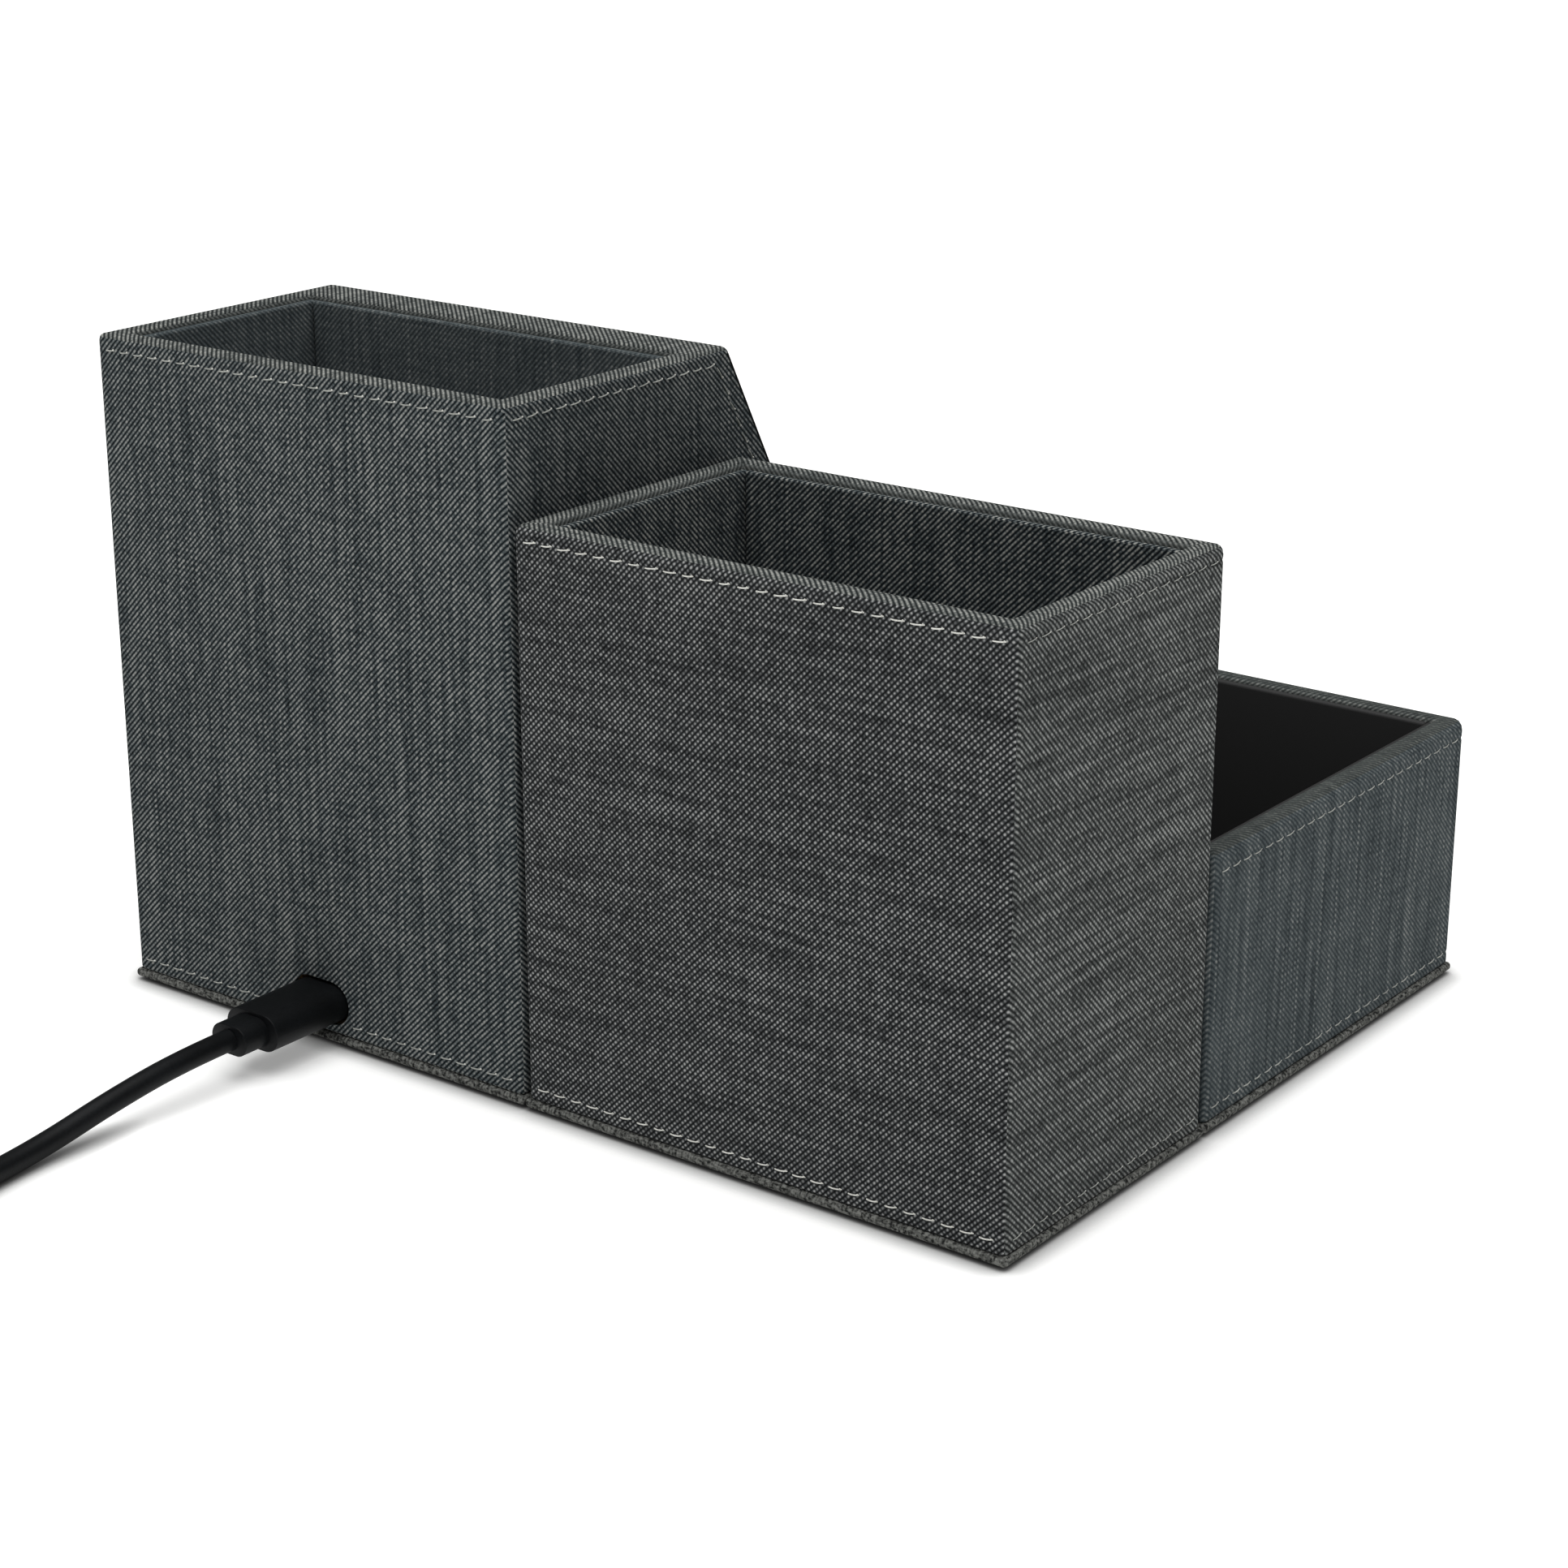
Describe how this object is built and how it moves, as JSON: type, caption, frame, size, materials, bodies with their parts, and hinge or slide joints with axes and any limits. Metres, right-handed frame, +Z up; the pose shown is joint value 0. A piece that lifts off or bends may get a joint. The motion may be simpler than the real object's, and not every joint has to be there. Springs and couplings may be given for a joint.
{
  "type": "charging station organizer",
  "caption": "Fabric-wrapped desk organizer with an open tower behind a slanted wireless charging face, a pen box, a low tray and a plug-in charging cable.",
  "frame": {"origin": "middle of the footprint, on the desk", "axes": "+Z up, the tray and the charging face look towards -Y, the tower stands at +X and the cable leaves towards +Y"},
  "size_m": [0.2116, 0.2758, 0.1155],
  "materials": {
    "slate_fabric": "matte",
    "slate_lining": "matte",
    "black_flock": "matte",
    "base_fabric": "matte",
    "fibreboard": "matte",
    "plug_plastic": "satin",
    "cable_jacket": "satin",
    "plug_steel": "satin",
    "copper_winding": "satin",
    "ferrite": "matte",
    "circuit_board": "satin",
    "black_component": "matte",
    "white_plastic": "satin",
    "foot_rubber": "matte",
    "foam_tape": "matte",
    "tie_strap": "matte"
  },
  "bodies": {
    "organizer": {"pen_box_base_board": "base_fabric", "pen_box_left_board": "fibreboard", "pen_box_right_board": "fibreboard", "pen_box_back_board": "fibreboard", "pen_box_front_board": "fibreboard", "pen_box_cover": "slate_fabric", "pen_box_floor_lining": "slate_lining", "pen_box_left_lining": "slate_lining", "pen_box_right_lining": "slate_lining", "pen_box_back_lining": "slate_lining", "pen_box_front_lining": "slate_lining", "tray_base_board": "base_fabric", "tray_left_board": "fibreboard", "tray_right_board": "fibreboard", "tray_back_board": "fibreboard", "tray_front_board": "fibreboard", "tray_cover": "slate_fabric", "tray_floor_lining": "black_flock", "tray_left_lining": "black_flock", "tray_right_lining": "black_flock", "tray_back_lining": "black_flock", "tray_front_lining": "black_flock", "tower_left_board": "fibreboard", "tower_right_board": "fibreboard", "tower_back_board": "fibreboard", "tower_partition_board": "fibreboard", "tower_floor_board": "fibreboard", "tower_top_rail": "fibreboard", "tower_ledge_board": "fibreboard", "tower_lip_board": "fibreboard", "charge_face_board": "fibreboard", "tower_base_board": "base_fabric", "tower_cover": "slate_fabric", "charge_face_cover": "slate_fabric", "ledge_pad": "black_flock", "tower_floor_lining": "slate_lining", "tower_left_lining": "slate_lining", "tower_right_lining": "slate_lining", "tower_back_lining": "slate_lining", "tower_front_lining": "slate_lining", "board_carrier": "white_plastic", "charger_board": "circuit_board", "board_components": "black_component", "board_screws": "plug_steel", "usb_c_socket": "plug_steel", "coil_holder": "white_plastic", "ferrite_sheet": "ferrite", "charging_coil": "copper_winding", "coil_lead": "cable_jacket", "foot_pads": "foot_rubber", "seam_tapes": "foam_tape"},
    "charging_cable": {"usb_c_plug_shell": "plug_steel", "usb_c_overmold": "plug_plastic", "usb_c_collar": "plug_plastic", "cable_lead": "cable_jacket", "cable_coil": "cable_jacket", "cable_tie": "tie_strap", "usb_a_overmold": "plug_plastic", "usb_a_shell": "plug_steel", "usb_a_insert": "black_component"}
  },
  "joints": [
    {"name": "plug_slide", "type": "slide", "parent": "organizer", "child": "charging_cable", "axis": [0, 1, 0], "range_m": [0, 0.02]}
  ]
}
